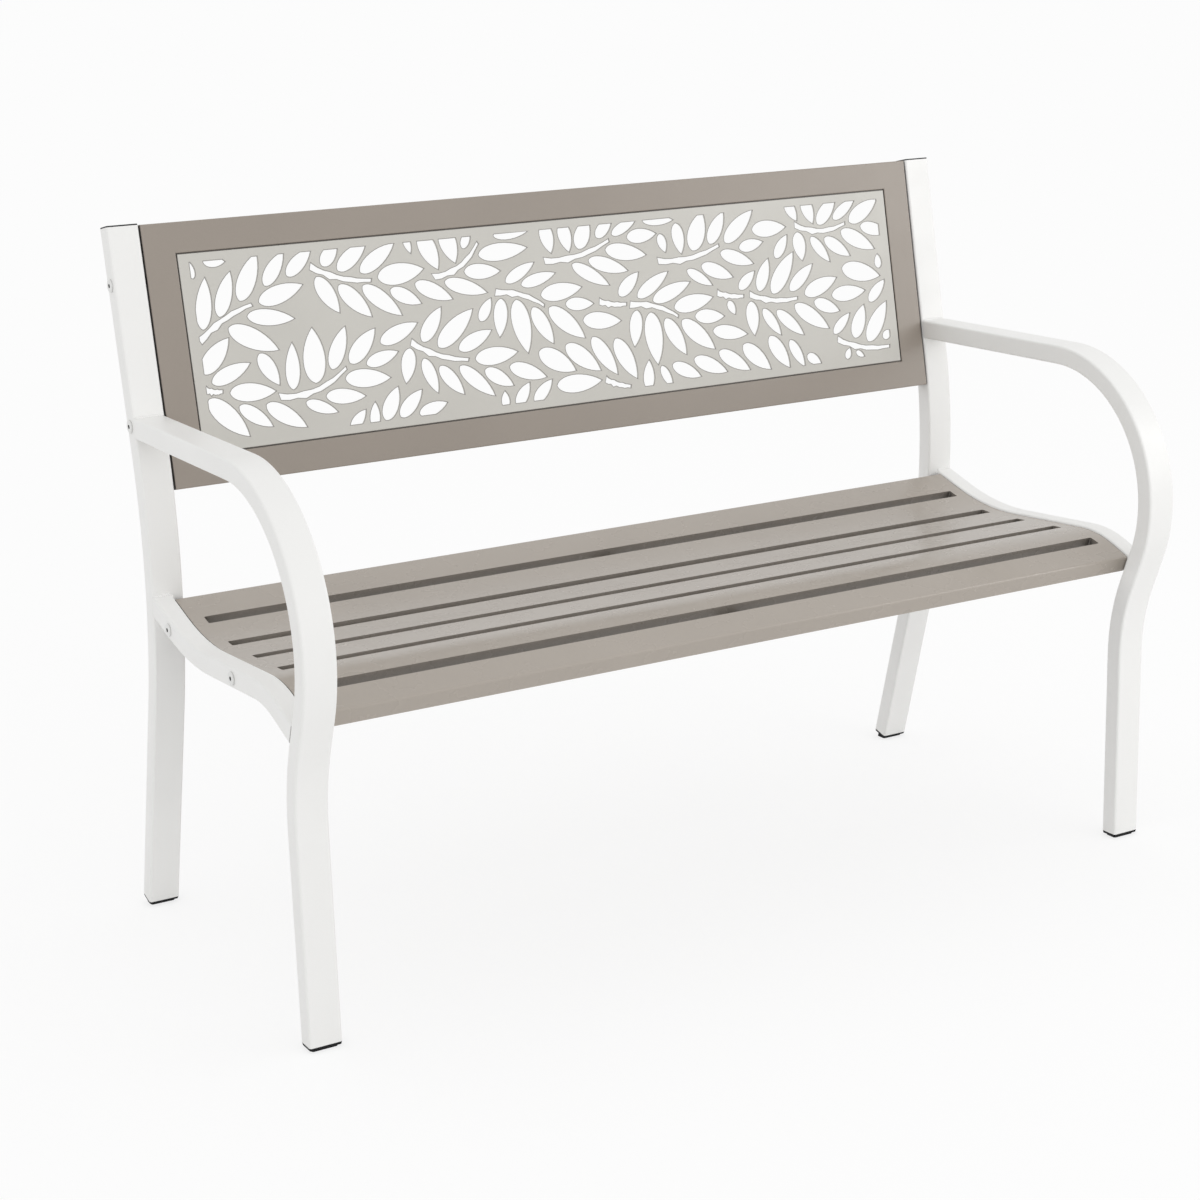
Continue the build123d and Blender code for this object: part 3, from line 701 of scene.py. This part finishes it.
    def bead_ends(self, side: Side) -> Iterable[Tuple[Vector, Vector]]:
        """Ends of every bead on one end frame.

        Args:
            side: End of the bench.

        Returns:
            Pairs of points in millimetres.
        """
        sign = side.value
        outer = sign * (BENCH_WIDE / 2 - self.bead_inset)
        tube_inner = sign * (BENCH_WIDE / 2 - self.tube_wide + self.bead_inset)
        rail_face = sign * (BENCH_WIDE / 2 - self.rail_wide)
        rail_inner = rail_face + sign * self.rail_inset
        for z in (self.arm_height, self.arm_height - self.tube_deep):
            y = self.upright_front(z)
            yield Vector((tube_inner, y, z)), Vector((outer, y, z))
        for joint in (self.rail_meets_upright, self.rail_meets_leg):
            top = joint(self.rail_proud)
            bottom = joint(self.rail_proud - self.rail_high)
            for y, z in (top, bottom):
                yield Vector((rail_inner, y, z)), Vector((outer, y, z))
            upper = Vector((rail_face, top[0], top[1] - self.rail_inset))
            lower = Vector((rail_face, bottom[0], bottom[1] + self.rail_inset))
            yield upper, lower

    def build(self) -> None:
        """Makes the weld beads of both ends."""
        for side in Side:
            shape = bmesh.new()
            for start, end in self.bead_ends(side):
                self.bead_run(shape, start, end)
            new_piece(f"{side.label}_weld_beads", shape, WHITE_COAT)

    def dress(self) -> None:
        """Coats the tubes and finishes the plastic plugs."""
        for side in Side:
            for tube in ("rear_upright", "arm_and_leg", "seat_rail"):
                dress_node(f"{side.label}_{tube}", WHITE_COAT)
            for plug in ("front_foot", "rear_foot"):
                dress_node(f"{side.label}_{plug}", FOOT_PLASTIC)
            dress_node(f"{side.label}_top_cap", CAP_PLASTIC)


class Seat:
    """Slotted seat sheet and the rib beneath it."""

    def dress(self) -> None:
        """Coats the sheet and its rib."""
        dress_node("seat_panel", SEAT_COAT)
        dress_node("seat_centre_rib", RIB_COAT)


@dataclass
class Back:
    """Back frame with the leaf panel, and a band of painted shade round each leaf opening. Sizes in
    millimetres.

    Attributes:
        edge_wide: Width of the band round an opening.
        edge_lift: Height of the band over the panel's face.
        edge_sink: How far the band reaches below that face.
        mitre: Longest corner of a band, in widths of the band.
        sharpest: Least divisor of a corner's mitre, for corners that nearly fold back.
        rim: How near the panel's left end an outline is its rim and not an opening.
        flat: How far a corner of the front face may lie behind its plane.
        digits: Decimals to which corners of two triangles have to agree.
    """

    edge_wide: float = 1.0
    edge_lift: float = 0.03
    edge_sink: float = 0.02
    mitre: float = 1.6
    sharpest: float = 0.1
    rim: float = 4.0
    flat: float = 0.01
    digits: int = 3

    @property
    def out(self) -> Vector:
        """Direction that the front of the back looks in."""
        turn = math.radians(BACK_LEAN)
        return Vector((0.0, -math.cos(turn), math.sin(turn)))

    def face_outlines(self, mesh: bpy.types.Mesh) -> Iterable[List[Vector]]:
        """Closed outlines of the panel's flat front face: its rim and the openings.

        Args:
            mesh: Mesh of the leaf panel.

        Returns:
            Corners of each outline in order, with the face on their left as seen from the front.
        """
        level = max(vertex.co.dot(self.out) for vertex in mesh.vertices)
        ways: Dict[Tuple, Vector] = {}
        mesh.calc_loop_triangles()
        for triangle in mesh.loop_triangles:
            corners = [mesh.vertices[index].co for index in triangle.vertices]
            if any(level - corner.dot(self.out) > self.flat * MM for corner in corners):
                continue
            keys = [tuple(round(value / MM, self.digits) for value in corner) for corner in corners]
            for turn, start in enumerate(keys):
                end = keys[(turn + 1) % len(keys)]
                if ways.pop((end, start), None) is None:
                    ways[start, end] = corners[turn]
        follow = {start: (end, corner) for (start, end), corner in ways.items()}
        while follow:
            outline = []
            spot = next(iter(follow))
            while spot in follow:
                spot, corner = follow.pop(spot)
                outline.append(corner)
            yield outline

    def edge_line(self, shape: bmesh.types.BMesh, outline: List[Vector]) -> None:
        """Adds one thin closed band of painted shade along the face's side of an outline.

        Args:
            shape: Mesh under construction.
            outline: Corners of the outline in order.
        """
        sides = []
        for one, other in zip(outline, outline[1:] + outline[:1]):
            sides.append(self.out.cross(other - one).normalized())
        top, bottom = self.out * self.edge_lift * MM, self.out * -self.edge_sink * MM
        rings = []
        for corner, before, after in zip(outline, sides[-1:] + sides[:-1], sides):
            inward = (before + after) / max(1.0 + before.dot(after), self.sharpest)
            inward *= min(1.0, self.mitre / inward.length) * self.edge_wide * MM
            spots = (corner + top, corner + inward + top, corner + inward + bottom, corner + bottom)
            rings.append([shape.verts.new(spot) for spot in spots])
        for first, second in zip(rings, rings[1:] + rings[:1]):
            for turn in range(len(first)):
                after = (turn + 1) % len(first)
                shape.faces.new((first[turn], first[after], second[after], second[turn]))

    def build(self) -> None:
        """Makes the bands of painted shade round the leaf openings."""
        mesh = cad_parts["leaf_panel"].data
        left = min(vertex.co.x for vertex in mesh.vertices)
        shape = bmesh.new()
        for outline in self.face_outlines(mesh):
            if min(corner.x for corner in outline) > left + self.rim * MM:
                self.edge_line(shape, outline)
        new_piece("leaf_panel_edge_shade", shape, EDGE_SHADE_COAT, smooth=False)

    def dress(self) -> None:
        """Coats the frame and the panel, and plates the push nuts."""
        dress_node("back_frame", FRAME_COAT)
        dress_node("leaf_panel", LEAF_COAT)
        dress_node("leaf_panel_push_nuts", ZINC)


@dataclass
class Fasteners:
    """Bolts and nuts, with a dark lining of painted shade in each bolt's socket. Sizes in millimetres.

    Attributes:
        head_thick: Thickness of a bolt head.
        socket_deep: Depth of the hexagon socket.
        socket_across: Width of the socket across its flats.
        socket_sides: Flats of the socket.
        lining: Height of the lining's lowest point over the socket's floor.
        play: Gap between the lining and a flat.
        dish: Shares of the radius and heights of the dished floor's rings, from within.
        rim_drop: How much less high the lining is than the socket is deep.
        sets: Nodes that hold the bolts.
    """

    head_thick: float = 2.2
    socket_deep: float = 1.6
    socket_across: float = 5.0
    socket_sides: int = 6
    lining: float = 0.12
    play: float = 0.02
    dish: Tuple[Point, ...] = ((0.55, 0.1), (1.0, 0.25))
    rim_drop: float = 0.15
    sets: Tuple[str, ...] = ("back_bolts", "seat_bolts")

    def head_spots(self, node: str) -> List[Point]:
        """Y and Z of the bolts of one set, in metres, read from the boxes of the heads.

        Args:
            node: Node that holds the bolts.

        Returns:
            Two spots, front one first.
        """
        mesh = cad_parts[node].data
        tips = [vertex.co for vertex in mesh.vertices if vertex.co.x > BENCH_WIDE / 2 * MM]
        middle = sum(tip.y for tip in tips) / len(tips)
        front = [tip for tip in tips if tip.y < middle]
        rear = [tip for tip in tips if tip.y >= middle]
        spots = []
        for half in (front, rear):
            ys = [tip.y for tip in half]
            zs = [tip.z for tip in half]
            spots.append(((min(ys) + max(ys)) / 2, (min(zs) + max(zs)) / 2))
        return spots

    def socket(self, shape: bmesh.types.BMesh, x: float, sign: int, spot: Point) -> None:
        """Adds the lining of one socket: a dark hexagonal cup with a dished floor, as painted shade.

        Args:
            shape: Mesh under construction.
            x: Distance of the lining's lowest point from the middle of the bench, in millimetres.
            sign: Way that the socket faces along X.
            spot: Y and Z of the bolt in metres.
        """
        radius = (self.socket_across / 2 - self.play) / math.cos(math.pi / self.socket_sides) * MM
        lowest = shape.verts.new((sign * x * MM, *spot))
        rings = []
        for share, height in (*self.dish, (1.0, self.socket_deep - self.rim_drop)):
            ring = []
            for corner in range(self.socket_sides):
                angle = 2 * math.pi / self.socket_sides * corner
                y = spot[0] + radius * share * math.cos(angle)
                z = spot[1] + radius * share * math.sin(angle)
                ring.append(shape.verts.new((sign * (x + height) * MM, y, z)))
            rings.append(ring)
        for corner in range(self.socket_sides):
            after = (corner + 1) % self.socket_sides
            shape.faces.new((lowest, rings[0][corner], rings[0][after]))
            for low, high in zip(rings, rings[1:]):
                shape.faces.new((low[corner], high[corner], high[after], low[after]))

    def build(self) -> None:
        """Makes the socket linings of painted shade for both sets."""
        lowest = BENCH_WIDE / 2 + self.head_thick - self.socket_deep + self.lining
        for node in self.sets:
            shape = bmesh.new()
            for spot in self.head_spots(node):
                for side in Side:
                    self.socket(shape, lowest, side.value, spot)
            new_piece(f"{node}_sockets", shape, SOCKET_SHADE_LINING, smooth=False)

    def dress(self) -> None:
        """Coats the bolts, plates the nuts and finishes the spacers."""
        for node in self.sets:
            dress_node(node, BOLT_COAT)
        for node in ("back_nuts", "seat_nuts"):
            dress_node(node, ZINC)
        dress_node("back_spacers", FOOT_PLASTIC)


@dataclass(frozen=True)
class Sun:
    """Broad far lamp that lights the bench without showing in its gloss.

    Attributes:
        name: Name of the lamp.
        towards: Direction in which the lamp lies.
        strength: Strength of its light.
        spread: Angle that it fills, in degrees.
    """

    name: str
    towards: Place
    strength: float
    spread: float

    def hang(self) -> None:
        """Adds the lamp to the scene."""
        lamp = bpy.data.lights.new(self.name, "SUN")
        lamp.energy = self.strength
        lamp.angle = math.radians(self.spread)
        holder = bpy.data.objects.new(self.name, lamp)
        holder.visible_glossy = False
        holder.rotation_euler = Vector(self.towards).to_track_quat("Z", "Y").to_euler()
        bpy.context.scene.collection.objects.link(holder)


@dataclass(frozen=True)
class Panel:
    """Flat lamp near the bench, turned to the right half of its back. Metres.

    Attributes:
        name: Name of the lamp.
        place: Its middle.
        size: Width and height.
        watts: Power of the lamp.
        sheen: Whether it only shows in gloss, or else only lights the bench.
        aim: Point that the lamp faces.
    """

    name: str
    place: Place
    size: Point
    watts: float
    sheen: bool
    aim: Place = (0.3, 0.2, 0.65)

    def hang(self) -> None:
        """Adds the lamp to the scene."""
        lamp = bpy.data.lights.new(self.name, "AREA")
        lamp.shape = "RECTANGLE"
        lamp.size, lamp.size_y = self.size
        lamp.energy = self.watts
        holder = bpy.data.objects.new(self.name, lamp)
        holder.visible_diffuse = not self.sheen
        holder.visible_glossy = self.sheen
        holder.location = Vector(self.place)
        away = Vector(self.place) - Vector(self.aim)
        holder.rotation_euler = away.to_track_quat("Z", "Y").to_euler()
        bpy.context.scene.collection.objects.link(holder)


FRONT_KEY = Sun(name="front_key", towards=(0.16, -0.97, 0.10), strength=0.42, spread=50.0)
TOP_FILL = Sun(name="top_fill", towards=(-0.1, 0.1, 1.0), strength=0.10, spread=80.0)
RIGHT_PANEL = Panel(name="right_panel", place=(2.1, -1.9, 1.7), size=(2.2, 2.2), watts=9.0, sheen=False)
RIGHT_CARD = Panel(name="right_card", place=(3.5, -2.0, 1.8), size=(2.8, 1.7), watts=50.0, sheen=True)


@dataclass
class Studio:
    """Pale floor, soft light and the photograph's camera. Metres and degrees.

    Attributes:
        camera_place: Where the camera stands.
        azimuth: Turn of the view about Z, from straight in front.
        elevation: Height of the camera above the object, as an angle.
        roll: Tilt of the frame, in radians.
        focal_px: Focal length in pixels of the photograph.
        frame_px: Width of the photograph in pixels.
        sensor_mm: Width of the camera's sensor in millimetres.
        sight: How far the camera sees.
        floor_reach: Half the floor's width.
        floor_cells: Squares along each side of the floor.
        floor_bounce: How much light the floor throws back on the bench.
        floor_shade: How bright the floor's lit paper shows to the camera.
        floor_lift: Share of plain white in the floor as the camera sees it, which softens the shadow.
        ambient: Strength of the even light from all round.
        backdrop: Strength of the surroundings where they are seen, level with the floor's white.
        lamps: Lamps that hang round the bench.
    """

    camera_place: Place = (-1.5312, -2.5355, 1.1765)
    azimuth: float = -29.79
    elevation: float = 15.13
    roll: float = -0.03
    focal_px: float = 2390.1
    frame_px: float = 1200.0
    sensor_mm: float = 36.0
    sight: float = 500.0
    floor_reach: float = 150.0
    floor_cells: int = 4
    floor_bounce: float = 0.92
    floor_shade: float = 1.0
    floor_lift: float = 0.76
    ambient: float = 0.84
    backdrop: float = 0.98
    lamps: Tuple[Union[Sun, Panel], ...] = (FRONT_KEY, TOP_FILL, RIGHT_PANEL, RIGHT_CARD)

    def build(self) -> None:
        """Makes the floor, the light and the camera."""
        self.lay_floor()
        self.light_world()
        for lamp in self.lamps:
            lamp.hang()
        self.place_camera()

    def lay_floor(self) -> None:
        """Pale floor that keeps the bench's shadow and reads as white to the camera."""
        mesh = bpy.data.meshes.new("floor")
        shape = bmesh.new()
        cells = self.floor_cells
        bmesh.ops.create_grid(shape, x_segments=cells, y_segments=cells, size=self.floor_reach)
        shape.to_mesh(mesh)
        shape.free()
        floor = bpy.data.objects.new("floor", mesh)
        bpy.context.scene.collection.objects.link(floor)
        mesh.materials.append(self.floor_paper())

    def floor_paper(self) -> bpy.types.Material:
        """Paper that throws back one share of light on the bench and shows another to the camera.

        Returns:
            The floor's material.
        """
        material = bpy.data.materials.new("floor_paper")
        material.use_nodes = True
        tree = material.node_tree
        tree.nodes.remove(tree.nodes["Principled BSDF"])
        dim, bright = (tree.nodes.new("ShaderNodeBsdfDiffuse") for _ in range(2))
        dim.inputs["Color"].default_value = (*grey(self.floor_bounce), 1.0)
        bright.inputs["Color"].default_value = (*grey(self.floor_shade), 1.0)
        glow = tree.nodes.new("ShaderNodeEmission")
        glow.inputs["Color"].default_value = (1.0, 1.0, 1.0, 1.0)
        glow.inputs["Strength"].default_value = 1.0
        lifted, surface = (tree.nodes.new("ShaderNodeMixShader") for _ in range(2))
        lifted.inputs[0].default_value = self.floor_lift
        link_nodes(tree, bright.outputs["BSDF"], lifted.inputs[1])
        link_nodes(tree, glow.outputs["Emission"], lifted.inputs[2])
        link_nodes(tree, self.seen_rays(tree), surface.inputs[0])
        link_nodes(tree, dim.outputs["BSDF"], surface.inputs[1])
        link_nodes(tree, lifted.outputs["Shader"], surface.inputs[2])
        link_nodes(tree, surface.outputs["Shader"], tree.nodes["Material Output"].inputs["Surface"])
        return material

    def seen_rays(self, tree: Tree) -> Socket:
        """Adds a switch for rays that show a surface rather than light the bench by it.

        Args:
            tree: Node tree that receives the switch.

        Returns:
            Socket that is 1 for camera, glossy and transmission rays, otherwise 0.
        """
        rays = tree.nodes.new("ShaderNodeLightPath")
        seen = rays.outputs["Is Camera Ray"]
        for ray in ("Is Glossy Ray", "Is Transmission Ray"):
            either = tree.nodes.new("ShaderNodeMath")
            either.operation = "MAXIMUM"
            link_nodes(tree, seen, either.inputs[0])
            link_nodes(tree, rays.outputs[ray], either.inputs[1])
            seen = either.outputs["Value"]
        return seen

    def light_world(self) -> None:
        """Even white surroundings, plain white where the camera or a reflection sees them."""
        world = bpy.data.worlds.new("studio")
        bpy.context.scene.world = world
        world.use_nodes = True
        tree = world.node_tree
        background = tree.nodes["Background"]
        background.inputs["Color"].default_value = (1.0, 1.0, 1.0, 1.0)
        strength = tree.nodes.new("ShaderNodeMapRange")
        strength.inputs["To Min"].default_value = self.ambient
        strength.inputs["To Max"].default_value = self.backdrop
        link_nodes(tree, self.seen_rays(tree), strength.inputs["Value"])
        link_nodes(tree, strength.outputs["Result"], background.inputs["Strength"])

    def place_camera(self) -> None:
        """Stands the camera where the photograph was taken from."""
        turn, lift = math.radians(self.azimuth), math.radians(self.elevation)
        back = Vector((math.sin(turn) * math.cos(lift), -math.cos(turn) * math.cos(lift), math.sin(lift)))
        right = (-back).cross(Vector((0, 0, 1))).normalized()
        up = right.cross(-back)
        cosine, sine = math.cos(self.roll), math.sin(self.roll)
        rolled_right = right * cosine + up * sine
        rolled_up = up * cosine - right * sine
        lens = bpy.data.cameras.new("photo_camera")
        lens.sensor_width = self.sensor_mm
        lens.lens = self.focal_px / self.frame_px * self.sensor_mm
        lens.clip_end = self.sight
        camera = bpy.data.objects.new("photo_camera", lens)
        matrix = Matrix((rolled_right, rolled_up, back)).transposed().to_4x4()
        matrix.translation = Vector(self.camera_place)
        camera.matrix_world = matrix
        bpy.context.scene.collection.objects.link(camera)
        bpy.context.scene.camera = camera


def main() -> None:
    """Builds and dresses every sub-assembly, then sets the studio."""
    logging.basicConfig(level=logging.INFO, format="%(name)s: %(message)s")
    bpy.context.scene.view_settings.view_transform = "Standard"
    ends = EndFrames()
    ends.build()
    ends.dress()
    Seat().dress()
    back = Back()
    back.build()
    back.dress()
    bolts = Fasteners()
    bolts.build()
    bolts.dress()
    Studio().build()


if __name__ == "__main__":
    main()
